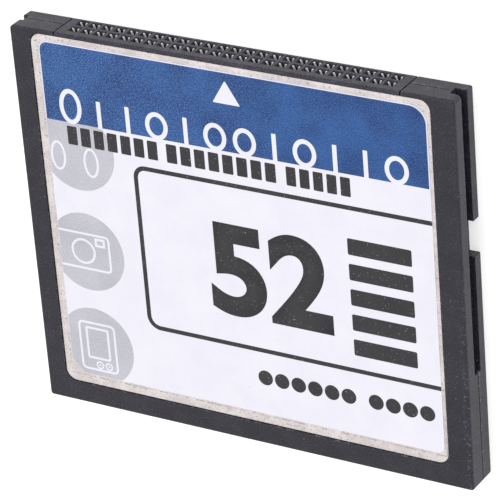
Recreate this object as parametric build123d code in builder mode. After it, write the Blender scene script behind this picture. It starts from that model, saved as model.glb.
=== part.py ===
# Compact flash memory card, type I, lying on its back.
# Millimetres. X runs across the card, +Y to the socket end and +Z to the labelled face.
# The origin is the centre of the back face.
import math
import os

from build123d import *

os.makedirs("parts", exist_ok=True)

# Card outline
card_width = 42.8
card_length = 36.4
card_thickness = 3.3
parting_height = 1.5
front_end_corner = 0.4
back_end_corner = 0.15
tail_corner = 0.3
front_edge_round = 0.2
back_edge_round = 0.12
seam_width = 0.1
seam_depth = 0.12

# Guide grooves along the two sides
back_rail_thickness = 1.01
right_groove_height = 1.09
left_groove_height = 0.99
right_groove_depth = 1.1
left_groove_depth = 0.6
groove_length = 25.78
notch_start = 11.83
notch_length = 3.3
notch_depth = 1.0

# Sheet metal covers
cover_thickness = 0.15
cover_sink = 0.08
cover_gap = 0.08
cover_left_inset = 2.05
cover_right_inset = 2.28
cover_tail_inset = 2.1
cover_end_inset = 0.43
cover_corner = 1.0
tab_count = 3
tab_pitch = 11.0
tab_length = 3.0
tab_depth = 0.6
tab_gap = 0.05

# Label on the front cover
label_thickness = 0.06
label_left_inset = 0.8
label_right_inset = 0.32
label_end_inset = 0.55
label_tail_inset = 0.98
label_left_corner = 0.9
label_right_corner = 1.6
label_tail_corner = 0.7
label_cut_corner = 1.2

# Space inside the frames
cover_ledge = 1.35
board_ledge = 0.65
board_gap = 0.25
board_lift_gap = 0.05
block_reach = 0.6
insulator_thickness = 0.07
insulator_gap = 0.15

# Pegs that line the two frames up
peg_radius = 0.5
peg_sides = 8
peg_length = 0.7
peg_gap = 0.05
end_peg_inset_x = 2.8
end_peg_inset_y = 2.2
tail_peg_inset_x = 1.5
tail_peg_inset_y = 1.45

# Socket housing
connector_side_inset = 4.8
connector_x = -0.22
connector_depth = 5.6
connector_gap = 0.15
lip_chamfer = 0.1
ear_reach = 0.9
ear_length = 1.4
ear_height = 1.3
ear_gap = 0.05

# Sockets in two rows
socket_end_wall = 0.9
socket_pitch = 1.27
row_pitch = 1.27
row_height = 1.45
throat_width = 0.84
throat_height = 0.84
funnel_flare = 0.08
funnel_depth = 0.25

# Fork contacts
contact_drop = 0.18
blade_height = 0.12
blade_thickness = 0.13
tip_setback = 0.03
tip_half_gap = 0.23
pinch_half_gap = 0.08
pinch_setback = 0.45
root_half_gap = 0.2
root_setback = 3.0
base_length = 1.4
base_gap = 0.04
tail_width = 0.36
tail_thickness = 0.15
tail_overlap = 0.15
foot_start_gap = 0.35
foot_length = 0.9

# Circuit board
board_thickness = 0.6
board_end_gap = 0.1
board_corner = 0.5

# Flat chips
chip_standoff = 0.05
chip_clearance = 0.1
chip_draft = 8.0
lead_thickness = 0.12
lead_shoulder = 0.15
lead_drop = 0.12
lead_foot = 0.5
pin_mark_radius = 0.4
pin_mark_depth = 0.05
pin_mark_inset = 1.2

memory_length = 18.4
memory_width = 12.0
memory_tail_inset = 2.6
memory_lead_margin = 0.25
memory_lead_pitch = 0.5
memory_lead_width = 0.2

controller_width = 10.0
controller_lead_margin = 1.4
controller_lead_pitch = 0.65
controller_lead_width = 0.2

regulator_length = 2.9
regulator_width = 1.6
regulator_height = 0.62
regulator_lead_margin = 0.45
regulator_lead_pitch = 0.95
regulator_lead_width = 0.4
regulator_side_inset = 4.0
regulator_end_inset = 5.0
regulator_mark_radius = 0.15
regulator_mark_inset = 0.4

# Small parts on the board
capacitor_length = 1.6
capacitor_width = 0.8
capacitor_height = 0.6
capacitor_inset = 2.2
capacitor_tail_inset = 7.8
capacitor_end_gap = 1.0
capacitor_rows = 4
front_capacitor_pitch = 5.0
front_capacitor_gap = 2.0
front_capacitor_count = 4
cap_band = 0.3
cap_proud = 0.02

array_length = 3.2
array_width = 1.6
array_height = 0.5
array_pitch = 6.2
array_count = 4
array_end_inset = 3.4
array_terminals = 4
array_terminal_pitch = 0.8
array_terminal_width = 0.4
array_terminal_reach = 0.08

resistor_length = 1.0
resistor_width = 0.5
resistor_height = 0.35
resistor_count = 6
resistor_pitch = 2.4
resistor_end_inset = 4.4

reservoir_length = 3.2
reservoir_width = 1.6
reservoir_clearance = 0.12
reservoir_tail_inset = 7.5
reservoir_tab = 0.15
reservoir_tab_width = 1.2
reservoir_tab_height = 0.5

crystal_length = 3.2
crystal_width = 2.5
crystal_base_height = 0.45
crystal_lid_height = 0.3
crystal_lid_inset = 0.25
crystal_corner = 0.3
crystal_tail_inset = 6.0

# Places worked out from the sizes above
side_x = card_width / 2
end_y = card_length / 2
tail_y = -card_length / 2
parting_plane = Plane.XY.offset(parting_height)
front_ledge_z = card_thickness - cover_sink - cover_thickness
back_ledge_z = cover_sink + cover_thickness

cover_width = card_width - cover_left_inset - cover_right_inset
cover_x = (cover_left_inset - cover_right_inset) / 2
cover_end_y = end_y - cover_end_inset
cover_tail_y = tail_y + cover_tail_inset
cover_length = cover_end_y - cover_tail_y
cover_y = (cover_end_y + cover_tail_y) / 2

connector_width = card_width - 2 * connector_side_inset
socket_count = int((connector_width - 2 * socket_end_wall) / socket_pitch) + 1
housing_rear_y = end_y - connector_depth
lip_y = cover_end_y + cover_gap
pocket_width = connector_width + 2 * connector_gap

board_top = row_height + board_thickness / 2
board_bottom = row_height - board_thickness / 2
front_row_z = row_height + row_pitch / 2
back_row_z = row_height - row_pitch / 2

cavity_width = cover_width - 2 * cover_ledge
cavity_tail_y = cover_tail_y + cover_ledge
cavity_end_y = housing_rear_y - block_reach
cavity_length = cavity_end_y - cavity_tail_y
cavity_y = (cavity_end_y + cavity_tail_y) / 2

board_width = cavity_width + 2 * board_ledge - 2 * board_gap
board_end_y = housing_rear_y - board_end_gap
board_tail_y = cavity_tail_y - board_ledge + board_gap
board_length = board_end_y - board_tail_y
board_y = (board_end_y + board_tail_y) / 2

front_space = front_ledge_z - insulator_thickness - board_top
back_space = board_bottom - back_ledge_z - insulator_thickness
memory_thickness = front_space - chip_standoff - chip_clearance
controller_thickness = back_space - chip_standoff - chip_clearance
reservoir_height = front_space - reservoir_clearance

mouth_width = throat_width + 2 * funnel_flare
mouth_height = throat_height + 2 * funnel_flare
socket_plane = Plane(origin=(connector_x, end_y, row_height), x_dir=(1, 0, 0), z_dir=(0, -1, 0))

end_peg_x = side_x - end_peg_inset_x
end_peg_y = end_y - end_peg_inset_y
tail_peg_x = side_x - tail_peg_inset_x
tail_peg_y = tail_y + tail_peg_inset_y
peg_points = [
    (-end_peg_x, end_peg_y),
    (end_peg_x, end_peg_y),
    (-tail_peg_x, tail_peg_y),
    (tail_peg_x, tail_peg_y),
]
tab_x = cover_width / 2 - cover_thickness / 2
slot_reach = cover_thickness + tab_gap + cover_gap
slot_x = cover_width / 2 + cover_gap - slot_reach / 2

notch_y = end_y - notch_start - notch_length / 2
board_slot_width = cavity_width + 2 * board_ledge
board_slot_tail_y = cavity_tail_y - board_ledge


# Moulded casing, still in one piece
with BuildPart() as casing:
    for slab_plane, slab_height, end_corner in (
        (Plane.XY, parting_height, back_end_corner),
        (parting_plane, card_thickness - parting_height, front_end_corner),
    ):
        with BuildSketch(slab_plane):
            Rectangle(card_width, card_length)
            fillet(vertices().group_by(Axis.Y)[0], radius=tail_corner)
            fillet(vertices().group_by(Axis.Y)[-1], radius=end_corner)
        extrude(amount=slab_height)
    fillet(edges().group_by(Axis.Z)[-1], radius=front_edge_round)
    fillet(edges().group_by(Axis.Z)[0], radius=back_edge_round)

    # Seam where the halves meet
    with BuildSketch(parting_plane):
        Rectangle(card_width + seam_width, card_length + seam_width)
        Rectangle(card_width - 2 * seam_depth, card_length - 2 * seam_depth, mode=Mode.SUBTRACT)
    extrude(amount=seam_width / 2, both=True, mode=Mode.SUBTRACT)

    # Guide grooves, open at the socket end, each with a notch through its back rail
    for side, height, depth in (
        (1, right_groove_height, right_groove_depth),
        (-1, left_groove_height, left_groove_depth),
    ):
        with BuildSketch(Plane.XY.offset(back_rail_thickness)):
            with Locations((side * side_x, end_y)):
                Rectangle(2 * depth, 2 * groove_length)
        extrude(amount=height, mode=Mode.SUBTRACT)
        with BuildSketch(Plane.XY):
            with Locations((side * side_x, notch_y)):
                Rectangle(2 * notch_depth, notch_length)
        extrude(amount=back_rail_thickness, mode=Mode.SUBTRACT)

    # Seats for the two covers
    with BuildSketch(Plane.XY.offset(front_ledge_z), Plane.XY):
        with Locations((cover_x, cover_y)):
            RectangleRounded(
                cover_width + 2 * cover_gap, cover_length + 2 * cover_gap, cover_corner + cover_gap
            )
    extrude(amount=back_ledge_z, mode=Mode.SUBTRACT)

    # Open middle, and the wider slot that holds the board
    with BuildSketch(Plane.XY):
        with Locations((0, cavity_y)):
            Rectangle(cavity_width, cavity_length)
    extrude(amount=card_thickness, mode=Mode.SUBTRACT)
    with BuildSketch(Plane.XY.offset(board_bottom)):
        with Locations((0, (housing_rear_y + board_slot_tail_y) / 2)):
            Rectangle(board_slot_width, housing_rear_y - board_slot_tail_y)
    extrude(amount=board_thickness + board_lift_gap, mode=Mode.SUBTRACT)

    # Opening for the socket housing, with a pocket for each ear
    with BuildSketch(Plane.XY):
        with Locations((connector_x, end_y)):
            Rectangle(pocket_width, 2 * (end_y - cavity_end_y))
    extrude(amount=card_thickness, mode=Mode.SUBTRACT)
    with BuildSketch(Plane.XY.offset(row_height - ear_height / 2 - ear_gap)):
        with Locations((connector_x, housing_rear_y + ear_length / 2)):
            Rectangle(connector_width + 2 * ear_reach + 2 * ear_gap, ear_length + 2 * ear_gap)
    extrude(amount=ear_height + 2 * ear_gap, mode=Mode.SUBTRACT)

    # Slots for the covers' folded tabs
    with BuildSketch(Plane.XY.offset(front_ledge_z - tab_depth - tab_gap), Plane.XY):
        with Locations((cover_x, cover_y)):
            with GridLocations(2 * slot_x, tab_pitch, 2, tab_count):
                Rectangle(slot_reach, tab_length + 2 * tab_gap)
    extrude(amount=back_ledge_z + tab_depth + tab_gap, mode=Mode.SUBTRACT)


# Front frame, with the pegs
with BuildPart() as front_frame:
    add(casing.part)
    split(bisect_by=parting_plane, keep=Keep.TOP)
    with BuildSketch(parting_plane):
        with Locations(*peg_points):
            RegularPolygon(peg_radius, peg_sides)
    extrude(amount=-peg_length)
front_frame.part.label = "front_frame"
export_step(front_frame.part, "parts/front_frame.step")

# Back frame, with the peg holes
with BuildPart() as back_frame:
    add(casing.part)
    split(bisect_by=parting_plane, keep=Keep.BOTTOM)
    with BuildSketch(parting_plane):
        with Locations(*peg_points):
            RegularPolygon(peg_radius + peg_gap, peg_sides)
    extrude(amount=-(peg_length + peg_gap), mode=Mode.SUBTRACT)
back_frame.part.label = "back_frame"
export_step(back_frame.part, "parts/back_frame.step")


# Covers, each a sheet with folded tabs, modelled outer face up
for cover_name, cover_plane in (
    ("front_cover", Plane(origin=(cover_x, cover_y, front_ledge_z + cover_thickness))),
    ("back_cover", Plane(origin=(cover_x, cover_y, cover_sink), x_dir=(-1, 0, 0), z_dir=(0, 0, -1))),
):
    with BuildPart() as cover:
        with BuildSketch(cover_plane):
            RectangleRounded(cover_width, cover_length, cover_corner)
        extrude(amount=-cover_thickness)
        with BuildSketch(cover_plane):
            with GridLocations(2 * tab_x, tab_pitch, 2, tab_count):
                Rectangle(cover_thickness, tab_length)
        extrude(amount=-(cover_thickness + tab_depth))
    cover.part.label = cover_name
    export_step(cover.part, f"parts/{cover_name}.step")


# Label stuck on the front cover
label_left = cover_x - cover_width / 2 + label_left_inset
label_right = cover_x + cover_width / 2 - label_right_inset
label_end = cover_end_y - label_end_inset
label_tail = cover_tail_y + label_tail_inset
with BuildPart() as front_label:
    with BuildSketch(Plane.XY.offset(front_ledge_z + cover_thickness)):
        with Locations(((label_left + label_right) / 2, (label_end + label_tail) / 2)):
            Rectangle(label_right - label_left, label_end - label_tail)
        fillet(vertices().group_by(Axis.Y)[-1].sort_by(Axis.X)[0], radius=label_left_corner)
        fillet(vertices().group_by(Axis.Y)[-1].sort_by(Axis.X)[-1], radius=label_right_corner)
        fillet(vertices().group_by(Axis.Y)[0].sort_by(Axis.X)[-1], radius=label_tail_corner)
        chamfer(vertices().group_by(Axis.Y)[0].sort_by(Axis.X)[0], length=label_cut_corner)
    extrude(amount=label_thickness)
front_label.part.label = "front_label"
export_step(front_label.part, "parts/front_label.step")


# Films that keep the covers off the parts on the board
for film_name, film_z in (
    ("front_insulator", front_ledge_z - insulator_thickness),
    ("back_insulator", back_ledge_z),
):
    with BuildPart() as film:
        with BuildSketch(Plane.XY.offset(film_z)):
            with Locations((0, cavity_y)):
                Rectangle(cavity_width - 2 * insulator_gap, cavity_length - 2 * insulator_gap)
        extrude(amount=insulator_thickness)
    film.part.label = film_name
    export_step(film.part, f"parts/{film_name}.step")


# Socket housing: a bar between the covers, a lip of full thickness and two ears
with BuildPart() as connector_housing:
    with BuildSketch(Plane.XY.offset(back_ledge_z)):
        with Locations((connector_x, (end_y + housing_rear_y) / 2)):
            Rectangle(connector_width, connector_depth)
    extrude(amount=front_ledge_z - back_ledge_z)
    with BuildSketch(Plane.XY):
        with Locations((connector_x, (end_y + lip_y) / 2)):
            Rectangle(connector_width, end_y - lip_y)
    extrude(amount=card_thickness)
    lip_edges = edges().filter_by(Axis.X).group_by(Axis.Y)[-1]
    chamfer(lip_edges, length=lip_chamfer)
    with BuildSketch(Plane.XY.offset(row_height - ear_height / 2)):
        with Locations((connector_x, housing_rear_y + ear_length / 2)):
            Rectangle(connector_width + 2 * ear_reach, ear_length)
    extrude(amount=ear_height)

    # Two rows of sockets, each a funnel that narrows to a square bore
    with BuildSketch(socket_plane):
        with GridLocations(socket_pitch, row_pitch, socket_count, 2):
            Rectangle(throat_width, throat_height)
    extrude(amount=connector_depth, mode=Mode.SUBTRACT)
    with BuildSketch(socket_plane):
        with GridLocations(socket_pitch, row_pitch, socket_count, 2):
            Rectangle(mouth_width, mouth_height)
    funnel_angle = math.degrees(math.atan(funnel_flare / funnel_depth))
    extrude(amount=funnel_depth, taper=funnel_angle, mode=Mode.SUBTRACT)
connector_housing.part.label = "connector_housing"
export_step(connector_housing.part, "parts/connector_housing.step")


# A strip bent along a line in its plane, its own thickness to the left of the line
def bent_strip(plane, points, thickness, width):
    with BuildPart() as strip:
        with BuildSketch(plane):
            with BuildLine():
                Polyline(*points)
                offset(amount=thickness, side=Side.LEFT, kind=Kind.INTERSECTION)
            make_face()
        extrude(amount=width / 2, both=True)
    return strip.part


# Fork contacts, low in their bores: two blades that pinch the pin, a base and a tail on the board
base_half_width = throat_width / 2 - base_gap
base_start_y = end_y - root_setback
base_end_y = base_start_y - base_length
for row_name, row_z, board_z, turn in (
    ("front_row_contacts", front_row_z, board_top, 1),
    ("back_row_contacts", back_row_z, board_bottom, -1),
):
    contact_z = row_z - contact_drop
    tail_points = [
        (-base_end_y - tail_overlap, turn * contact_z - tail_thickness / 2),
        (-housing_rear_y, turn * contact_z - tail_thickness / 2),
        (-board_end_y + foot_start_gap, turn * board_z),
        (-board_end_y + foot_start_gap + foot_length, turn * board_z),
    ]
    tail_plane = Plane(origin=(0, 0, 0), x_dir=(0, -1, 0), z_dir=(-turn, 0, 0))
    tail = bent_strip(tail_plane, tail_points, tail_thickness, tail_width)
    with BuildPart() as contact:
        with BuildSketch(Plane.XY.offset(contact_z - blade_height / 2)):
            with BuildLine():
                Polyline(
                    (root_half_gap, base_start_y),
                    (pinch_half_gap, end_y - pinch_setback),
                    (tip_half_gap, end_y - tip_setback),
                    (tip_half_gap + blade_thickness, end_y - tip_setback),
                    (pinch_half_gap + blade_thickness, end_y - pinch_setback),
                    (base_half_width, base_start_y),
                    (base_half_width, base_end_y),
                )
                mirror(about=Plane.YZ)
                Line((-root_half_gap, base_start_y), (root_half_gap, base_start_y))
                Line((-base_half_width, base_end_y), (base_half_width, base_end_y))
            make_face()
        extrude(amount=blade_height)
        add(tail)
    with BuildPart(Plane(origin=(connector_x, 0, 0))) as contact_row:
        with GridLocations(socket_pitch, row_pitch, socket_count, 1):
            add(contact.part)
    contact_row.part.label = row_name
    export_step(contact_row.part, f"parts/{row_name}.step")


# Circuit board, and planes on its two faces for what stands there
with BuildPart() as circuit_board:
    with BuildSketch(Plane.XY.offset(board_bottom)):
        with Locations((0, board_y)):
            Rectangle(board_width, board_length)
        fillet(vertices().group_by(Axis.Y)[0], radius=board_corner)
    extrude(amount=board_thickness)
circuit_board.part.label = "circuit_board"
export_step(circuit_board.part, "parts/circuit_board.step")


def front_spot(x, y):
    return Plane(origin=(x, y, board_top))


def back_spot(x, y):
    return Plane(origin=(x, y, board_bottom), x_dir=(1, 0, 0), z_dir=(0, 0, -1))


# A moulded chip body with a pin mark, widest where its leads come out
def chip_body(plane, length, width, thickness, mark_radius, mark_inset):
    middle = plane.offset(chip_standoff + thickness / 2)
    with BuildPart() as body:
        with BuildSketch(middle):
            Rectangle(length, width)
        extrude(amount=thickness / 2, taper=chip_draft, both=True)
        with BuildSketch(middle.offset(thickness / 2 - pin_mark_depth)):
            with Locations((mark_inset - length / 2, mark_inset - width / 2)):
                Circle(mark_radius)
        extrude(amount=pin_mark_depth, mode=Mode.SUBTRACT)
    return body.part


# How many leads fit along a side, clear of its two ends
def lead_count(side_length, margin, pitch):
    return int((side_length - 2 * margin) / pitch) + 1


# One gull-wing lead: it leaves a body at x = 0 and stands on the board at z = 0
def gull_lead(thickness, width):
    exit_height = chip_standoff + thickness / 2 - lead_thickness / 2
    foot_x = lead_shoulder + lead_drop
    points = [
        (0, exit_height),
        (lead_shoulder, exit_height),
        (foot_x, 0),
        (foot_x + lead_foot, 0),
    ]
    return bent_strip(Plane.XZ, points, lead_thickness, width)


# Memory chip on the label side, with leads along its two short ends
memory_y = board_tail_y + memory_tail_inset + memory_width / 2
memory_plane = front_spot(0, memory_y)
memory_chip = chip_body(
    memory_plane, memory_length, memory_width, memory_thickness, pin_mark_radius, pin_mark_inset
)
memory_chip.label = "memory_chip"
export_step(memory_chip, "parts/memory_chip.step")

memory_lead = gull_lead(memory_thickness, memory_lead_width)
memory_lead_count = lead_count(memory_width, memory_lead_margin, memory_lead_pitch)
with BuildPart(memory_plane) as memory_leads:
    with PolarLocations(memory_length / 2, 2):
        with GridLocations(1, memory_lead_pitch, 1, memory_lead_count):
            add(memory_lead)
memory_leads.part.label = "memory_leads"
export_step(memory_leads.part, "parts/memory_leads.step")

# Controller chip on the back of the board, with leads on all four sides
controller_plane = back_spot(0, board_y)
controller_chip = chip_body(
    controller_plane,
    controller_width,
    controller_width,
    controller_thickness,
    pin_mark_radius,
    pin_mark_inset,
)
controller_chip.label = "controller_chip"
export_step(controller_chip, "parts/controller_chip.step")

controller_lead = gull_lead(controller_thickness, controller_lead_width)
controller_lead_count = lead_count(controller_width, controller_lead_margin, controller_lead_pitch)
with BuildPart(controller_plane) as controller_leads:
    with PolarLocations(controller_width / 2, 4):
        with GridLocations(1, controller_lead_pitch, 1, controller_lead_count):
            add(controller_lead)
controller_leads.part.label = "controller_leads"
export_step(controller_leads.part, "parts/controller_leads.step")

# Voltage regulator on the back of the board, a small chip with three leads a side
regulator_y = board_end_y - regulator_end_inset
regulator_plane = back_spot(regulator_side_inset - board_width / 2, regulator_y)
voltage_regulator = chip_body(
    regulator_plane,
    regulator_width,
    regulator_length,
    regulator_height,
    regulator_mark_radius,
    regulator_mark_inset,
)
voltage_regulator.label = "voltage_regulator"
export_step(voltage_regulator, "parts/voltage_regulator.step")

regulator_lead = gull_lead(regulator_height, regulator_lead_width)
regulator_lead_count = lead_count(regulator_length, regulator_lead_margin, regulator_lead_pitch)
with BuildPart(regulator_plane) as regulator_leads:
    with PolarLocations(regulator_width / 2, 2):
        with GridLocations(1, regulator_lead_pitch, 1, regulator_lead_count):
            add(regulator_lead)
regulator_leads.part.label = "regulator_leads"
export_step(regulator_leads.part, "parts/regulator_leads.step")


# A small ceramic part along X with a metal band round each end
def banded_part(length, width, height):
    with BuildPart() as banded:
        with BuildSketch(Plane.XY.offset(cap_proud)):
            Rectangle(length, width)
        extrude(amount=height - 2 * cap_proud)
        with BuildSketch(Plane.XY):
            with GridLocations(length - cap_band, 1, 2, 1):
                Rectangle(cap_band, width + 2 * cap_proud)
        extrude(amount=height)
    return banded.part


# Capacitors: a column near each side edge on the back, and a row above the memory chip
capacitor = banded_part(capacitor_length, capacitor_width, capacitor_height)
front_capacitor_y = memory_y + memory_width / 2 + front_capacitor_gap
first_capacitor_y = board_tail_y + capacitor_tail_inset
last_capacitor_y = regulator_y - (regulator_length + capacitor_width) / 2 - capacitor_end_gap
capacitor_pitch = (last_capacitor_y - first_capacitor_y) / (capacitor_rows - 1)
with BuildPart(back_spot(0, (first_capacitor_y + last_capacitor_y) / 2)) as back_capacitors:
    with GridLocations(board_width - 2 * capacitor_inset, capacitor_pitch, 2, capacitor_rows):
        add(capacitor)
back_capacitors.part.label = "back_capacitors"
export_step(back_capacitors.part, "parts/back_capacitors.step")

with BuildPart(front_spot(0, front_capacitor_y)) as front_capacitors:
    with GridLocations(front_capacitor_pitch, 1, front_capacitor_count, 1):
        add(capacitor)
front_capacitors.part.label = "front_capacitors"
export_step(front_capacitors.part, "parts/front_capacitors.step")

# Pull-up resistors in a row on the back
resistor = banded_part(resistor_length, resistor_width, resistor_height)
with BuildPart(back_spot(0, board_end_y - resistor_end_inset)) as resistors:
    with GridLocations(resistor_pitch, 1, resistor_count, 1):
        add(resistor)
resistors.part.label = "resistors"
export_step(resistors.part, "parts/resistors.step")

# Resistor arrays that end the data lines, in a row behind the contacts' feet
with BuildPart() as resistor_array:
    with BuildSketch(Plane.XY):
        Rectangle(array_length, array_width)
        with GridLocations(array_terminal_pitch, array_width, array_terminals, 2):
            Rectangle(array_terminal_width, 2 * array_terminal_reach)
    extrude(amount=array_height)
with BuildPart(front_spot(0, board_end_y - array_end_inset)) as resistor_arrays:
    with GridLocations(array_pitch, 1, array_count, 1):
        add(resistor_array.part)
resistor_arrays.part.label = "resistor_arrays"
export_step(resistor_arrays.part, "parts/resistor_arrays.step")

# Middle of the board's free strip between the memory chip's leads and its side edge
memory_lead_end = memory_length / 2 + lead_shoulder + lead_drop + lead_foot
free_strip_x = (memory_lead_end + board_width / 2) / 2

# Tantalum reservoir capacitor, a moulded block with a tab folded up each end
reservoir_plane = front_spot(free_strip_x, board_tail_y + reservoir_tail_inset)
with BuildPart() as reservoir_capacitor:
    with BuildSketch(reservoir_plane.offset(reservoir_height / 2)):
        Rectangle(reservoir_length, reservoir_width)
    extrude(amount=reservoir_height / 2, taper=chip_draft, both=True)
    with BuildSketch(reservoir_plane):
        with GridLocations(reservoir_length, 1, 2, 1):
            Rectangle(2 * reservoir_tab, reservoir_tab_width)
    extrude(amount=reservoir_tab_height)
reservoir_capacitor.part.label = "reservoir_capacitor"
export_step(reservoir_capacitor.part, "parts/reservoir_capacitor.step")

# Clock crystal: a ceramic tray and its metal lid
crystal_plane = front_spot(-free_strip_x, board_tail_y + crystal_tail_inset)
with BuildPart() as crystal:
    with BuildSketch(crystal_plane):
        Rectangle(crystal_length, crystal_width)
    extrude(amount=crystal_base_height)
crystal.part.label = "crystal"
export_step(crystal.part, "parts/crystal.step")

with BuildPart() as crystal_lid:
    with BuildSketch(crystal_plane.offset(crystal_base_height)):
        RectangleRounded(
            crystal_length - 2 * crystal_lid_inset,
            crystal_width - 2 * crystal_lid_inset,
            crystal_corner,
        )
    extrude(amount=crystal_lid_height)
crystal_lid.part.label = "crystal_lid"
export_step(crystal_lid.part, "parts/crystal_lid.step")
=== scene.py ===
import math

import bmesh
import bpy
from mathutils import Matrix, Vector


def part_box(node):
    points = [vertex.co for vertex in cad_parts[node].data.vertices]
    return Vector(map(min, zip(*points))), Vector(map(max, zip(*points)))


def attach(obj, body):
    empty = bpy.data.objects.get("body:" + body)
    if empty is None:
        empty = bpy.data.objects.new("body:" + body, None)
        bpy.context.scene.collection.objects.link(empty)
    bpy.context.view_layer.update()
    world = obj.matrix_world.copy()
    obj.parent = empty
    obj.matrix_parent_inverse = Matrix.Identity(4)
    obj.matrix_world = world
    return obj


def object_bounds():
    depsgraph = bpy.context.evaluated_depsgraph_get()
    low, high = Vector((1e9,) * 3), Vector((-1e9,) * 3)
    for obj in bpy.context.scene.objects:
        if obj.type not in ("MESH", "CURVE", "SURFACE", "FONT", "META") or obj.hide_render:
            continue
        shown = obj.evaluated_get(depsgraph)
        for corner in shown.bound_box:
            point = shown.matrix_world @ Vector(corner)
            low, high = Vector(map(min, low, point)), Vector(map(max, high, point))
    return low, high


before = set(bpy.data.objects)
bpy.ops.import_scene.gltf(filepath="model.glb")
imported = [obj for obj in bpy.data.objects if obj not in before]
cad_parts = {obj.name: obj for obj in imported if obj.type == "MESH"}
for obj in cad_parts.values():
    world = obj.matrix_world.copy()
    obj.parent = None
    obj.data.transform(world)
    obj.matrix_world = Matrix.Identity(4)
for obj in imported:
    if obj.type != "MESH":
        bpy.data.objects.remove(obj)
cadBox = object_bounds()
print("frame loaded,", len(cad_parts), "nodes")

# The frame is in metres. Lengths below are in millimetres, from the centre of the card's back.
mm = 0.001
labelLow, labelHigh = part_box("front_label")
labelFace = labelHigh.z / mm
labelLeft, labelRight = labelLow.x / mm, labelHigh.x / mm
labelTail, labelEnd = labelLow.y / mm, labelHigh.y / mm
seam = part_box("back_frame")[1].z / mm


# Shared helpers

def addObject(name, data):
    added = bpy.data.objects.new(name, data)
    bpy.context.scene.collection.objects.link(added)
    return added


# A screen colour, 0 to 255, as the linear colour that a shader wants
def paint(red, green, blue):
    shares = [value / 255 for value in (red, green, blue)]
    return tuple(s / 12.92 if s <= 0.04045 else ((s + 0.055) / 1.055) ** 2.4 for s in shares) + (1.0,)


# Keywords fill a node's inputs by name, or by number as in _0, with a value or a node's output
def addNode(tree, kind, settings=None, **inputs):
    node = tree.nodes.new(kind)
    for name, value in (settings or {}).items():
        setattr(node, name, value)
    for name, value in inputs.items():
        socket = node.inputs[int(name[1:])] if name[1:].isdigit() else node.inputs[name]
        if isinstance(value, bpy.types.NodeSocket):
            tree.links.new(value, socket)
        else:
            socket.default_value = value
    return node


def newMaterial(name):
    material = bpy.data.materials.new(name)
    material.use_nodes = True
    material.node_tree.nodes.clear()
    return material, material.node_tree


def newFinish(name, metallic=0.0, ior=1.5, specular=0.5, coat=0.0, coatRoughness=0.1):
    material, tree = newMaterial(name)
    shader = addNode(tree, "ShaderNodeBsdfPrincipled", Metallic=metallic, IOR=ior)
    shader.inputs["Specular IOR Level"].default_value = specular
    shader.inputs["Coat Weight"].default_value = coat
    shader.inputs["Coat Roughness"].default_value = coatRoughness
    addNode(tree, "ShaderNodeOutputMaterial", Surface=shader.outputs["BSDF"])
    return material, tree, shader


def joinShader(tree, shader, colour, roughness, normal):
    for name, value in (("Base Color", colour), ("Roughness", roughness), ("Normal", normal)):
        tree.links.new(value, shader.inputs[name])


# Object coordinates in millimetres, stretched along an axis where the finish has a direction
def millimetres(tree, stretch=(1, 1, 1)):
    place = addNode(tree, "ShaderNodeTexCoord").outputs["Object"]
    mapping = addNode(tree, "ShaderNodeMapping", Vector=place)
    mapping.inputs["Scale"].default_value = [share / mm for share in stretch]
    return mapping.outputs["Vector"]


def splitAxes(tree, place):
    return addNode(tree, "ShaderNodeSeparateXYZ", _0=place).outputs


def noise(tree, place, perMm, detail=2.0, roughness=0.5):
    return addNode(
        tree, "ShaderNodeTexNoise", Vector=place, Scale=perMm, Detail=detail, Roughness=roughness
    ).outputs["Fac"]


# Turns the part of a pattern between low and high into a smooth mask
def between(tree, value, low, high, outLow=0.0, outHigh=1.0):
    ramp = addNode(tree, "ShaderNodeMapRange", {"interpolation_type": "SMOOTHSTEP"}, Value=value)
    for socket, number in (("From Min", low), ("From Max", high), ("To Min", outLow), ("To Max", outHigh)):
        ramp.inputs[socket].default_value = number
    return ramp.outputs["Result"]


# The same for a noise of its own
def patches(tree, place, perMm, low, high, outLow=0.0, outHigh=1.0, detail=2.0, roughness=0.5):
    return between(tree, noise(tree, place, perMm, detail, roughness), low, high, outLow, outHigh)


def combine(tree, operation, first, second):
    return addNode(tree, "ShaderNodeMath", {"operation": operation}, _0=first, _1=second).outputs[0]


# How far a value lies from a level, either way
def apart(tree, value, level):
    return combine(tree, "ABSOLUTE", combine(tree, "SUBTRACT", value, level), 0.0)


# A mask that is full up to inner away from a level, and gone at outer
def nearTo(tree, value, level, inner, outer, outHigh=1.0):
    return between(tree, apart(tree, value, level), outer, inner, 0.0, outHigh)


def blendColour(tree, share, first, second):
    mix = addNode(tree, "ShaderNodeMix", {"data_type": "RGBA"}, _0=share, _6=first, _7=second)
    return mix.outputs[2]


def relief(tree, height, depthMm, strength, normal=None):
    node = addNode(tree, "ShaderNodeBump", Height=height, Strength=strength, Distance=depthMm * mm)
    if normal:
        tree.links.new(normal, node.inputs["Normal"])
    return node.outputs["Normal"]


# Rounds the shading of sharp moulded edges
def softEdges(tree, radiusMm):
    return addNode(tree, "ShaderNodeBevel", {"samples": 6}, Radius=radiusMm * mm).outputs["Normal"]


# 1 for what is seen itself, mirrored or through glass, and 0 for the light that it gives
def seenShare(tree):
    rays = addNode(tree, "ShaderNodeLightPath").outputs
    seen = combine(tree, "MAXIMUM", rays["Is Camera Ray"], rays["Is Glossy Ray"])
    return combine(tree, "MAXIMUM", seen, rays["Is Transmission Ray"])


# Finishes of the moulded and metal parts

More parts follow.
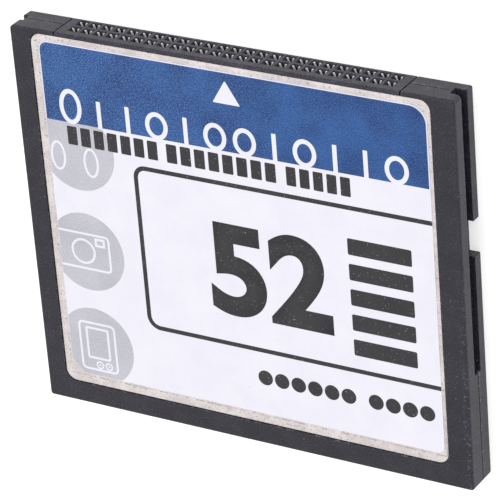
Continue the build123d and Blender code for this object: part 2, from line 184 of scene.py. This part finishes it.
# Dirt and burrs along the seam between the half frames, and rubbed spots beside the right front edge.
# The dirt and the spots get fainter towards the socket end.
ageing = {
    "faintFrom": 8.0, "strongFrom": -8.0, "faintShare": 0.2,
    "dirt": (6, 6, 8), "dirtInner": 0.07, "dirtOuter": 0.15, "dirtShare": 0.85,
    "burrsBelowSeam": 0.16, "burrsInner": 0.02, "burrsOuter": 0.07,
    "rightEdge": 21.1, "edgeInner": 0.1, "edgeOuter": 0.4,
}


def agedFrame(tree, place, colour, seamHeight, speck):
    axes = splitAxes(tree, place)
    tailward = between(tree, axes["Y"], ageing["faintFrom"], ageing["strongFrom"], ageing["faintShare"])
    dirt = nearTo(
        tree, axes["Z"], seamHeight, ageing["dirtInner"], ageing["dirtOuter"], ageing["dirtShare"]
    )
    colour = blendColour(tree, combine(tree, "MULTIPLY", dirt, tailward), colour, paint(*ageing["dirt"]))
    burrsHeight = seamHeight - ageing["burrsBelowSeam"]
    burrs = nearTo(tree, axes["Z"], burrsHeight, ageing["burrsInner"], ageing["burrsOuter"])
    broken = patches(tree, place, perMm=2.4, low=0.52, high=0.62, outHigh=0.7, detail=3.0, roughness=0.7)
    colour = blendColour(tree, combine(tree, "MULTIPLY", burrs, broken), colour, paint(*speck))
    beside = nearTo(tree, axes["X"], ageing["rightEdge"], ageing["edgeInner"], ageing["edgeOuter"])
    beside = combine(tree, "MULTIPLY", beside, tailward)
    spots = patches(tree, place, perMm=5.0, low=0.58, high=0.66, outHigh=0.42, detail=3.0, roughness=0.7)
    return blendColour(tree, combine(tree, "MULTIPLY", beside, spots), colour, paint(*speck))


# Spark-textured dark plastic, a little mottled, dusty in places and pale in spots along its edges, partly
# from wear and partly as a painted highlight
def mouldedPlastic(
    name, base, light, speck, edgeMm, specular, roughness=0.5, grainPerMm=7.0, seamHeight=0.0
):
    material, tree, shader = newFinish(name, specular=specular)
    shader.inputs["Specular Tint"].default_value = (0.95, 0.91, 1, 1)
    place = millimetres(tree)
    clouds = noise(tree, place, perMm=0.5, detail=5.0, roughness=0.7)
    mottle = between(tree, clouds, 0.3, 0.7, outLow=-0.05, outHigh=0.05)
    grain = noise(tree, place, grainPerMm, detail=3.0, roughness=0.75)
    shade = combine(tree, "ADD", grain, mottle)
    colour = blendColour(tree, between(tree, shade, 0.36, 0.76), paint(*base), paint(*light))
    dust = patches(tree, place, perMm=4.5, low=0.69, high=0.76, outHigh=0.5)
    dusty = patches(tree, place, perMm=0.22, low=0.4, high=0.58, outLow=0.3)
    colour = blendColour(tree, combine(tree, "MULTIPLY", dust, dusty), colour, paint(*speck))
    rounded = softEdges(tree, edgeMm)
    flat = addNode(tree, "ShaderNodeNewGeometry").outputs["Normal"]
    turned = addNode(tree, "ShaderNodeVectorMath", {"operation": "DOT_PRODUCT"}, _0=rounded, _1=flat)
    # Pale spots along the edges: partly edge wear, partly a painted highlight along the edges
    edge = between(tree, turned.outputs["Value"], 0.985, 0.9)
    wearAndPaintedHighlight = patches(tree, place, perMm=2.6, low=0.5, high=0.64, outHigh=0.6, detail=4.0, roughness=0.75)
    colour = blendColour(tree, combine(tree, "MULTIPLY", edge, wearAndPaintedHighlight), colour, paint(*speck))
    if seamHeight:
        colour = agedFrame(tree, place, colour, seamHeight, speck)
    strokes = noise(tree, millimetres(tree, (1, 0.25, 1)), perMm=0.8, detail=5.0, roughness=0.65)
    rubbed = between(tree, strokes, 0.55, 0.72, outLow=roughness, outHigh=roughness - 0.1)
    pits = addNode(tree, "ShaderNodeTexVoronoi", {"feature": "SMOOTH_F1"}, Vector=place, Scale=grainPerMm)
    texture = combine(tree, "ADD", grain, pits.outputs["Distance"])
    bumps = relief(tree, texture, depthMm=0.02, strength=0.8, normal=rounded)
    joinShader(tree, shader, colour, rubbed, bumps)
    return material


# How far a point lies outside the label's outline, in millimetres
def beyondLabel(tree, place):
    axes = splitAxes(tree, place)
    reach = []
    for axis, low, high in (("X", labelLeft, labelRight), ("Y", labelTail, labelEnd)):
        distance = apart(tree, axes[axis], (low + high) / 2)
        reach.append(combine(tree, "SUBTRACT", distance, (high - low) / 2))
    return combine(tree, "MAXIMUM", *reach)


# Pale stainless sheet with a matte rolled finish, scuffs, tiny dark specks, and a darker line around the
# label, strongest at the label's tail
steel = {
    "dull": (214, 206, 206), "bright": (233, 227, 226), "rolled": (184, 174, 168),
    "scuffs": (170, 161, 160), "specks": (104, 94, 88), "smooth": 0.42, "rough": 0.56,
}
lineAroundLabel = {
    "away": 0.22, "inner": 0.02, "outer": 0.07, "strongTo": 0.5, "faintFrom": 4.0, "faintShare": 0.3,
    "colour": (128, 120, 114),
}


def mattedSteel(name):
    material, tree, shader = newFinish(name, metallic=1.0)
    place = millimetres(tree)
    rolled = noise(tree, millimetres(tree, (0.12, 1, 1)), perMm=14.0, detail=4.0, roughness=0.6)
    cloud = patches(tree, place, perMm=0.5, low=0.3, high=0.7, detail=4.0, roughness=0.6)
    colour = blendColour(tree, cloud, paint(*steel["dull"]), paint(*steel["bright"]))
    streaks = between(tree, rolled, 0.35, 0.75, outHigh=0.3)
    colour = blendColour(tree, streaks, colour, paint(*steel["rolled"]))
    scuffed = patches(tree, place, perMm=3.2, low=0.5, high=0.72, outHigh=0.55, detail=4.0, roughness=0.75)
    colour = blendColour(tree, scuffed, colour, paint(*steel["scuffs"]))
    specks = patches(tree, place, perMm=5.0, low=0.64, high=0.7, outHigh=0.75)
    colour = blendColour(tree, specks, colour, paint(*steel["specks"]))
    # A darker broken line a little way out from the label's edge, strongest at the label's tail
    outside = beyondLabel(tree, place)
    line = nearTo(tree, outside, lineAroundLabel["away"], lineAroundLabel["inner"], lineAroundLabel["outer"])
    strongTo, faintFrom = labelTail + lineAroundLabel["strongTo"], labelTail + lineAroundLabel["faintFrom"]
    along = splitAxes(tree, place)["Y"]
    fading = between(tree, along, strongTo, faintFrom, 1.0, lineAroundLabel["faintShare"])
    line = combine(tree, "MULTIPLY", line, fading)
    broken = patches(tree, place, perMm=2.2, low=0.42, high=0.6, outHigh=0.7, detail=3.0, roughness=0.7)
    line = combine(tree, "MULTIPLY", line, broken)
    colour = blendColour(tree, line, colour, paint(*lineAroundLabel["colour"]))
    scratches = noise(tree, millimetres(tree, (0.06, 1.6, 1)), perMm=6.0, detail=3.0, roughness=0.7)
    marks = combine(tree, "ADD", rolled, scratches)
    bumps = relief(tree, marks, depthMm=0.003, strength=0.5, normal=softEdges(tree, 0.04))
    rough = between(tree, cloud, 0.0, 1.0, steel["smooth"], steel["rough"])
    joinShader(tree, shader, colour, rough, bumps)
    return material


# Stamped and plated strip, with drawing lines along its length and duller patches
def platedMetal(name, base, shadow, roughness, metallic=1.0):
    material, tree, shader = newFinish(name, metallic=metallic)
    dull = patches(tree, millimetres(tree), perMm=3.0, low=0.4, high=0.7, detail=3.0, roughness=0.6)
    colour = blendColour(tree, dull, paint(*base), paint(*shadow))
    rough = between(tree, dull, 0.0, 1.0, outLow=roughness, outHigh=roughness + 0.12)
    drawn = noise(tree, millimetres(tree, (4, 0.4, 4)), perMm=8.0)
    joinShader(tree, shader, colour, rough, relief(tree, drawn, depthMm=0.003, strength=0.4))
    return material


# White film with a satin face, a trace of paper fibre and a few specks of dirt
film = {
    "shade": (242, 240, 251), "white": (247, 245, 255), "fibre": (222, 220, 230),
    "dirt": (176, 174, 184), "smooth": 0.5, "rough": 0.62,
}


def labelFilm(name):
    material, tree, shader = newFinish(name, ior=1.45, specular=0.35)
    place = millimetres(tree)
    cloud = patches(tree, place, perMm=0.3, low=0.3, high=0.7, detail=3.0, roughness=0.6)
    colour = blendColour(tree, cloud, paint(*film["shade"]), paint(*film["white"]))
    strands = millimetres(tree, (0.5, 2.5, 1))
    fibre = patches(tree, strands, perMm=3.0, low=0.66, high=0.8, outHigh=0.25, detail=3.0, roughness=0.7)
    colour = blendColour(tree, fibre, colour, paint(*film["fibre"]))
    dirt = patches(tree, place, perMm=2.4, low=0.76, high=0.82, outHigh=0.5)
    colour = blendColour(tree, dirt, colour, paint(*film["dirt"]))
    waves = noise(tree, place, perMm=7.0, detail=3.0, roughness=0.6)
    rough = between(tree, cloud, 0.0, 1.0, film["smooth"], film["rough"])
    joinShader(tree, shader, colour, rough, relief(tree, waves, depthMm=0.003, strength=0.4))
    return material


# Printed ink: uneven cover in a fine grain, with pinholes that let the film show. Both keep only
# rightShare of their strength at the label's right.
inkWear = {"fullTo": -16.0, "leastFrom": 14.0, "holeEdge": 0.1, "smooth": 0.44, "rough": 0.58}


def ink(name, base, deep, speck, speckShare, speckPerMm, speckFrom, rightShare=1.0):
    material, tree, shader = newFinish(name, ior=1.45, specular=0.35)
    place = millimetres(tree)
    across = splitAxes(tree, place)["X"]
    strength = between(tree, across, inkWear["fullTo"], inkWear["leastFrom"], 1.0, rightShare)
    grain = combine(tree, "SUBTRACT", noise(tree, place, perMm=7.0, detail=3.0, roughness=0.7), 0.5)
    grain = combine(tree, "MULTIPLY", grain, strength)
    grain = combine(tree, "ADD", grain, 0.5)
    cloud = patches(tree, place, perMm=0.25, low=0.25, high=0.75, outLow=0.41, outHigh=0.59)
    cover = between(tree, combine(tree, "ADD", grain, cloud), 0.8, 1.2)
    colour = blendColour(tree, cover, paint(*deep), paint(*base))
    speckTo = speckFrom + inkWear["holeEdge"]
    holes = patches(tree, place, speckPerMm, speckFrom, speckTo, outHigh=speckShare, detail=1.5)
    colour = blendColour(tree, combine(tree, "MULTIPLY", holes, strength), colour, paint(*speck))
    rough = between(tree, grain, 0.3, 0.7, inkWear["smooth"], inkWear["rough"])
    joinShader(tree, shader, colour, rough, relief(tree, grain, depthMm=0.002, strength=0.4))
    return material


# Finishes of the parts inside

# Green solder mask over copper tracks, on a woven glass board
board = {
    "mask": (28, 84, 52), "tracks": (48, 118, 74), "weave": (20, 62, 40), "tracksPerMm": 0.9,
    "trackWidth": 0.035, "weavePerMm": 1.1, "smooth": 0.35, "rough": 0.5,
}


def maskedLaminate(name):
    material, tree, shader = newFinish(name, coat=0.4, coatRoughness=0.2)
    place = millimetres(tree)
    bricks = addNode(
        tree, "ShaderNodeTexBrick", {"offset": 0.35}, Vector=place, Scale=board["tracksPerMm"]
    )
    bricks.inputs["Mortar Size"].default_value = board["trackWidth"]
    tracks = bricks.outputs["Fac"]
    weave = addNode(
        tree, "ShaderNodeTexWave", Vector=place, Scale=board["weavePerMm"], Distortion=0.6
    )
    colour = blendColour(tree, tracks, paint(*board["mask"]), paint(*board["tracks"]))
    woven = between(tree, weave.outputs["Fac"], 0.2, 0.9, outHigh=0.2)
    colour = blendColour(tree, woven, colour, paint(*board["weave"]))
    rough = patches(tree, place, 2.0, 0.3, 0.7, board["smooth"], board["rough"])
    joinShader(tree, shader, colour, rough, relief(tree, tracks, depthMm=0.02, strength=0.8))
    return material


# Filled epoxy or ceramic, matte with a fine sandy grain and faint flow marks
def mouldedResin(name, base, light):
    material, tree, shader = newFinish(name, specular=0.4)
    grain = noise(tree, millimetres(tree), perMm=12.0, detail=3.0, roughness=0.7)
    streaks = millimetres(tree, (0.3, 1, 1))
    flow = patches(tree, streaks, perMm=0.7, low=0.35, high=0.7, detail=3.0, roughness=0.6)
    shade = combine(tree, "MULTIPLY", grain, flow)
    colour = blendColour(tree, between(tree, shade, 0.1, 0.5), paint(*base), paint(*light))
    rough = between(tree, flow, 0.0, 1.0, outLow=0.5, outHigh=0.68)
    joinShader(tree, shader, colour, rough, relief(tree, grain, depthMm=0.006, strength=0.6))
    return material


# Insulating film, amber and slightly wavy
amber = {"dark": (196, 128, 40), "light": (214, 150, 62), "smooth": 0.2, "rough": 0.34}


def amberFilm(name):
    material, tree, shader = newFinish(name, coat=0.3, coatRoughness=0.15)
    wave = noise(tree, millimetres(tree), perMm=0.4, detail=3.0)
    crests = between(tree, wave, 0.3, 0.7)
    colour = blendColour(tree, crests, paint(*amber["dark"]), paint(*amber["light"]))
    rough = between(tree, wave, 0.3, 0.7, amber["smooth"], amber["rough"])
    joinShader(tree, shader, colour, rough, relief(tree, wave, depthMm=0.03, strength=0.5))
    return material


finishes = {
    "frontFrame": mouldedPlastic(
        "front frame moulding", (8, 8, 13), (56, 54, 66), (160, 157, 164),
        edgeMm=0.2, specular=0.48, seamHeight=seam,
    ),
    # The back frame is the front frame's plastic painted lighter: painted light standing in for the light
    # that falls on its rail from behind and the right.
    "backFrameWithPaintedLight": mouldedPlastic(
        "back frame moulding with painted light", (14, 14, 19), (68, 66, 78), (160, 157, 164),
        edgeMm=0.07, specular=0.48, seamHeight=seam,
    ),
    "housing": mouldedPlastic(
        "socket housing", (34, 33, 40), (84, 82, 94), (165, 162, 165), edgeMm=0.04, specular=0.34
    ),
    "steel": mattedSteel("cover steel"),
    # The contacts' near-white colour is partly the plating and partly a painted highlight, lightened so
    # the blades shaded in their bores look bright
    "contact": platedMetal(
        "contact plating with painted highlight", (252, 251, 252), (236, 235, 236), roughness=0.4, metallic=0.3
    ),
    "lead": platedMetal("tinned lead", (206, 208, 210), (160, 162, 166), roughness=0.3),
    "film": labelFilm("label film"),
    "board": maskedLaminate("board laminate"),
    "insulator": amberFilm("insulator film"),
    "resin": mouldedResin("chip resin", (24, 24, 26), (38, 38, 40)),
    "tantalum": mouldedResin("reservoir resin", (196, 150, 40), (216, 172, 70)),
    "capacitor": mouldedResin("capacitor ceramic", (148, 112, 82), (172, 136, 102)),
    "resistor": mouldedResin("resistor ceramic", (30, 30, 34), (58, 58, 64)),
    "crystal": mouldedResin("crystal ceramic", (120, 116, 110), (146, 142, 136)),
    "blue": ink(
        "blue ink", (48, 97, 164), (13, 49, 107), (108, 142, 196),
        speckShare=0.8, speckPerMm=11.0, speckFrom=0.52, rightShare=0.45,
    ),
    "black": ink(
        "black ink", (58, 57, 61), (46, 45, 49), (160, 160, 166),
        speckShare=0.7, speckPerMm=6.0, speckFrom=0.66,
    ),
    "grey": ink(
        "grey ink", (209, 208, 217), (189, 189, 198), (216, 216, 224),
        speckShare=0.4, speckPerMm=4.0, speckFrom=0.6,
    ),
    "white": ink(
        "white ink", (247, 246, 254), (241, 240, 249), (226, 226, 238),
        speckShare=0.3, speckPerMm=4.0, speckFrom=0.68,
    ),
}
finishedNodes = {
    "frontFrame": ["front_frame"],
    "backFrameWithPaintedLight": ["back_frame"],
    "housing": ["connector_housing"],
    "steel": ["front_cover", "back_cover"],
    "contact": ["front_row_contacts", "back_row_contacts"],
    "lead": ["memory_leads", "controller_leads", "regulator_leads", "crystal_lid"],
    "film": ["front_label"],
    "board": ["circuit_board"],
    "insulator": ["front_insulator", "back_insulator"],
    "resin": ["memory_chip", "controller_chip", "voltage_regulator"],
    "tantalum": ["reservoir_capacitor"],
    "capacitor": ["front_capacitors", "back_capacitors"],
    "resistor": ["resistors", "resistor_arrays"],
    "crystal": ["crystal"],
}
for finishName, nodeNames in finishedNodes.items():
    for nodeName in nodeNames:
        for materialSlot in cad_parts[nodeName].material_slots:
            materialSlot.material = finishes[finishName]
print("finishes given to the frame's nodes")


# Print on the label, as thin layers of ink

inkThickness = {"under": 0.004, "over": 0.009}


# Gives flat shapes their layer's thickness and makes them a piece that rides with the card
def layInk(name, mesh, level, finishName):
    made = bmesh.ops.extrude_face_region(mesh, geom=mesh.faces[:])
    corners = [item for item in made["geom"] if isinstance(item, bmesh.types.BMVert)]
    bmesh.ops.translate(mesh, verts=corners, vec=(0, 0, inkThickness[level]))
    bmesh.ops.recalc_face_normals(mesh, faces=mesh.faces)
    data = bpy.data.meshes.new(name)
    mesh.to_mesh(data)
    mesh.free()
    data.transform(Matrix.Scale(mm, 4))
    data.materials.append(finishes[finishName])
    piece = addObject(name, data)
    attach(piece, "root")


# How far from a corner a rounding of that radius starts
def cornerReach(corner, radius):
    ahead, behind = [edge.other_vert(corner).co - corner.co for edge in corner.link_edges]
    return radius / math.tan(ahead.angle(behind) / 2)


# A flat shape through its corners, each rounded by its own radius
def addOutline(mesh, points, rounds, segments):
    corners = [mesh.verts.new((x, y, labelFace)) for x, y in points]
    mesh.faces.new(corners)
    for corner, radius in zip(corners, rounds):
        if radius:
            bmesh.ops.bevel(
                mesh, geom=[corner], offset=cornerReach(corner, radius), offset_type="OFFSET",
                affect="VERTICES", segments=segments, profile=0.5, material=-1,
            )


def boxCorners(left, right, low, high):
    return [(left, low), (right, low), (right, high), (left, high)]


def addBar(mesh, left, right, low, high, rounding):
    addOutline(mesh, boxCorners(left, right, low, high), [rounding] * 4, segments=4)


def addDisc(mesh, centre, radius, turns):
    bmesh.ops.create_circle(
        mesh, cap_ends=True, segments=turns, radius=radius,
        matrix=Matrix.Translation((centre[0], centre[1], labelFace)),
    )


# Leaves only a line along the edge of flat faces
def hollow(mesh, faces, line):
    mesh.normal_update()
    bmesh.ops.inset_region(mesh, faces=faces, thickness=line, use_even_offset=True, use_boundary=True)
    bmesh.ops.delete(mesh, geom=faces, context="FACES")


# An oval line, drawn as a disc with its middle taken out
def addRing(mesh, centre, radii, line, turns=40):
    stretch = Matrix.Diagonal((radii[0], radii[1], 1, 1))
    place = Matrix.Translation((centre[0], centre[1], labelFace)) @ stretch
    made = bmesh.ops.create_circle(mesh, cap_ends=True, segments=turns, radius=1.0, matrix=place)
    hollow(mesh, made["verts"][0].link_faces[:], line)


# Cuts off what lies past a line on the label
def trim(mesh, point, away):
    bmesh.ops.bisect_plane(
        mesh, geom=mesh.verts[:] + mesh.edges[:] + mesh.faces[:], clear_outer=True,
        plane_co=(point[0], point[1], labelFace), plane_no=(away[0], away[1], 0),
    )


# Blue band across the socket end, with its two outer corners rounded
band = {
    "left": -18.48, "right": 18.71, "low": 9.84, "high": 17.13, "leftRound": 0.82, "rightRound": 1.52,
    "segments": 8,
}
mesh = bmesh.new()
corners = boxCorners(band["left"], band["right"], band["low"], band["high"])
addOutline(mesh, corners, [0, 0, band["rightRound"], band["leftRound"]], band["segments"])
layInk("blue_band", mesh, "under", "blue")

# White triangle that points to the socket end
pointer = {
    "centre": -0.09, "halfWidth": 1.33, "low": 14.28, "high": 16.42, "rounds": [0.05, 0.05, 0.08],
    "segments": 3,
}
mesh = bmesh.new()
corners = [
    (pointer["centre"] - pointer["halfWidth"], pointer["low"]),
    (pointer["centre"] + pointer["halfWidth"], pointer["low"]),
    (pointer["centre"], pointer["high"]),
]
addOutline(mesh, corners, pointer["rounds"], pointer["segments"])
layInk("white_pointer", mesh, "over", "white")

# Row of white noughts and ones that stands on the band's lower edge
digits = {
    "row": "011010010110", "first": -15.9, "pitch": 2.88, "low": 9.72, "high": 12.32, "firstHigh": 13.05,
    "noughtWidth": 2.25, "line": 0.42, "rounding": 0.06,
}
mesh = bmesh.new()
for number, digit in enumerate(digits["row"]):
    centre = digits["first"] + number * digits["pitch"]
    high = digits["high"] if number else digits["firstHigh"]
    if digit == "0":
        middle = (centre, (digits["low"] + high) / 2)
        addRing(mesh, middle, (digits["noughtWidth"] / 2, (high - digits["low"]) / 2), digits["line"])
    else:
        left = centre - digits["line"] / 2
        addBar(mesh, left, left + digits["line"], digits["low"], high, digits["rounding"])
layInk("white_digits", mesh, "over", "white")

# Black dashed rule below the band, in three runs
rule = {
    "runs": [(-16.5, -7.4), (-6.5, 4.2), (5.2, 11.3)], "low": 7.74, "high": 9.5, "dash": 0.98,
    "gap": 0.36, "rounding": 0.1,
}
mesh = bmesh.new()
for start, stop in rule["runs"]:
    dashes = round((stop - start + rule["gap"]) / (rule["dash"] + rule["gap"]))
    step = (stop - start + rule["gap"]) / dashes
    for number in range(dashes):
        left = start + number * step
        addBar(mesh, left, left + step - rule["gap"], rule["low"], rule["high"], rule["rounding"])
layInk("black_rule", mesh, "over", "black")

# Grey discs down the left edge, cut off by the label's own edge and the band
discs = {
    "centre": -15.72, "radius": 3.79, "rows": [7.2, -2.62, -12.05], "segments": 96,
    "inset": 0.02, "cutCorner": 1.2,
}
leftLimit, tailLimit = labelLeft + discs["inset"], labelTail + discs["inset"]
mesh = bmesh.new()
for row in discs["rows"]:
    addDisc(mesh, (discs["centre"], row), discs["radius"], discs["segments"])
trim(mesh, (leftLimit, 0), (-1, 0))
trim(mesh, (0, band["low"]), (0, 1))
trim(mesh, (0, tailLimit), (0, -1))
trim(mesh, (leftLimit + discs["cutCorner"], tailLimit), (-1, -1))
layInk("grey_discs", mesh, "under", "grey")

# White line drawings on the discs: two ovals, a box with a finder and a ring, a screen in a box with keys
drawing = {
    "line": 0.22,
    "ovals": [(-17.7, 6.45), (-14.35, 6.25)], "ovalRadii": (0.78, 1.42),
    "lens": (-16.12, -2.62), "lensRadius": 1.26,
    "boxes": {
        "lensBox": {"left": -20.0, "right": -13.3, "low": -4.4, "high": -0.75, "rounding": 0.45},
        "finder": {"left": -14.85, "right": -13.8, "low": -1.95, "high": -1.1, "rounding": 0},
        "screenBox": {"left": -17.55, "right": -13.68, "low": -14.62, "high": -9.68, "rounding": 0.5},
        "screen": {"left": -16.82, "right": -14.38, "low": -13.42, "high": -10.2, "rounding": 0.25},
    },
    "keys": [(-15.62, -13.98), (-14.68, -13.98)], "keyRadius": 0.4, "keyLine": 0.15, "keyMiddle": 0.1,
    "keyTurns": 24,
}
mesh = bmesh.new()
for centre in drawing["ovals"]:
    addRing(mesh, centre, drawing["ovalRadii"], drawing["line"])
for box in drawing["boxes"].values():
    before = set(mesh.faces)
    addBar(mesh, **box)
    hollow(mesh, [face for face in mesh.faces if face not in before], drawing["line"])
addRing(mesh, drawing["lens"], [drawing["lensRadius"]] * 2, drawing["line"])
for centre in drawing["keys"]:
    addRing(mesh, centre, [drawing["keyRadius"]] * 2, drawing["keyLine"], drawing["keyTurns"])
    addDisc(mesh, centre, drawing["keyMiddle"], drawing["keyTurns"])
trim(mesh, (leftLimit, 0), (-1, 0))
layInk("white_drawings", mesh, "over", "white")

# Black outline, open where it runs off the label's right edge
border = {
    "left": -10.07, "low": -9.01, "high": 6.93, "line": 0.42, "topRound": 1.2, "lowRound": 1.3,
    "segments": 10, "overrun": 5,
}
mesh = bmesh.new()
corners = boxCorners(border["left"], labelRight + border["overrun"], border["low"], border["high"])
addOutline(mesh, corners, [border["lowRound"], 0, 0, border["topRound"]], border["segments"])
hollow(mesh, mesh.faces[:], border["line"])
trim(mesh, (labelRight, 0), (1, 0))
layInk("black_border", mesh, "over", "black")

# Plain figure, two digits, stretched to its box
figure = {
    "text": "52", "left": -3.1, "right": 8.8, "low": -5.95, "high": 3.05, "weight": 0.035, "weld": 0.0001,
}
curve = bpy.data.curves.new("figure", "FONT")
curve.body = figure["text"]
curve.offset = figure["weight"]
textObject = addObject("figure", curve)
bpy.context.view_layer.update()
flat = bpy.data.meshes.new_from_object(textObject)
bpy.data.objects.remove(textObject)
mesh = bmesh.new()
mesh.from_mesh(flat)
bmesh.ops.remove_doubles(mesh, verts=mesh.verts, dist=figure["weld"])
xs = [vert.co.x for vert in mesh.verts]
ys = [vert.co.y for vert in mesh.verts]
wider = (figure["right"] - figure["left"]) / (max(xs) - min(xs))
taller = (figure["high"] - figure["low"]) / (max(ys) - min(ys))
bmesh.ops.translate(mesh, verts=mesh.verts, vec=(-min(xs), -min(ys), 0))
bmesh.ops.scale(mesh, verts=mesh.verts, vec=(wider, taller, 1))
bmesh.ops.translate(mesh, verts=mesh.verts, vec=(figure["left"], figure["low"], labelFace))
layInk("black_figure", mesh, "over", "black")

# Gauge beside the figure, equal bars one above the other
gauge = {"left": 10.65, "right": 16.7, "low": -7.3, "high": 3.85, "bars": 5, "gap": 0.85, "rounding": 0.15}
barHeight = (gauge["high"] - gauge["low"] - gauge["gap"] * (gauge["bars"] - 1)) / gauge["bars"]
mesh = bmesh.new()
for number in range(gauge["bars"]):
    low = gauge["low"] + number * (barHeight + gauge["gap"])
    addBar(mesh, gauge["left"], gauge["right"], low, low + barHeight, gauge["rounding"])
layInk("black_gauge", mesh, "over", "black")

# Two runs of dots below the outline, each with its first place and its count
dots = {"runs": [(1.6, 6), (12.45, 4)], "pitch": 1.64, "row": -11.5, "radius": 0.72, "segments": 32}
mesh = bmesh.new()
for start, count in dots["runs"]:
    for number in range(count):
        addDisc(mesh, (start + number * dots["pitch"], dots["row"]), dots["radius"], dots["segments"])
layInk("black_dots", mesh, "over", "black")
print("print laid on the label")


# Floor, pale and seen as white. The floor, lamps and camera have their sizes and places in metres.
floor = {"size": 3.0, "drop": 0.00002, "tint": (0.86, 0.86, 0.86, 1), "glow": 0.5}


def floorFinish():
    material, tree = newMaterial("pale floor")
    matte = addNode(tree, "ShaderNodeBsdfDiffuse", Color=floor["tint"]).outputs[0]
    glow = addNode(tree, "ShaderNodeEmission", Color=(1, 1, 1, 1), Strength=floor["glow"]).outputs[0]
    plain = addNode(tree, "ShaderNodeAddShader", _0=matte, _1=glow).outputs[0]
    mix = addNode(tree, "ShaderNodeMixShader", _0=seenShare(tree), _1=matte, _2=plain).outputs[0]
    addNode(tree, "ShaderNodeOutputMaterial", Surface=mix)
    return material


mesh = bmesh.new()
bmesh.ops.create_grid(
    mesh, x_segments=1, y_segments=1, size=floor["size"] / 2,
    matrix=Matrix.Translation((0, 0, cadBox[0][2] - floor["drop"])),
)
floorData = bpy.data.meshes.new("floor")
mesh.to_mesh(floorData)
mesh.free()
floorData.materials.append(floorFinish())
addObject("floor", floorData)

# Daylight all round, and two soft lamps
daylight = {"lit": 0.76, "seen": 1.0}
world = bpy.data.worlds.new("studio")
bpy.context.scene.world = world
world.use_nodes = True
tree = world.node_tree
tree.nodes.clear()
strength = between(tree, seenShare(tree), 0.0, 1.0, daylight["lit"], daylight["seen"])
background = addNode(tree, "ShaderNodeBackground", Color=(1, 1, 1, 1), Strength=strength)
addNode(tree, "ShaderNodeOutputWorld", Surface=background.outputs[0])

lamps = {
    "overhead": {"place": (-0.15, 0.2, 0.6), "size": 0.5, "power": 0.95},
    "side": {"place": (0.5, 0.25, 0.3), "size": 0.4, "power": 0.5},
}
for lampName, lamp in lamps.items():
    light = bpy.data.lights.new(lampName, "AREA")
    light.size = lamp["size"]
    light.energy = lamp["power"]
    lampObject = addObject(lampName, light)
    lampObject.location = lamp["place"]
    lampObject.rotation_euler = Vector(lamp["place"]).to_track_quat("Z", "Y").to_euler()

# Camera, worked out from the card's corners in the photograph
shot = {
    "place": (0.14098, 0.134922, 0.224632),
    "forward": (-0.47559, -0.45575, -0.7524),
    "up": (-0.17361, 0.88713, -0.42762),
    "lens": 249.82, "sensor": 36, "near": 0.01, "far": 10,
}
forward = Vector(shot["forward"]).normalized()
side = forward.cross(Vector(shot["up"])).normalized()
up = side.cross(forward)
camera = bpy.data.cameras.new("camera")
camera.lens = shot["lens"]
camera.sensor_width = shot["sensor"]
camera.clip_start = shot["near"]
camera.clip_end = shot["far"]
cameraObject = addObject("camera", camera)
turn = Matrix((side, up, -forward)).transposed().to_4x4()
cameraObject.matrix_world = Matrix.Translation(shot["place"]) @ turn
bpy.context.scene.camera = cameraObject
bpy.context.scene.view_settings.view_transform = "Standard"
print("floor, lamps and camera set")
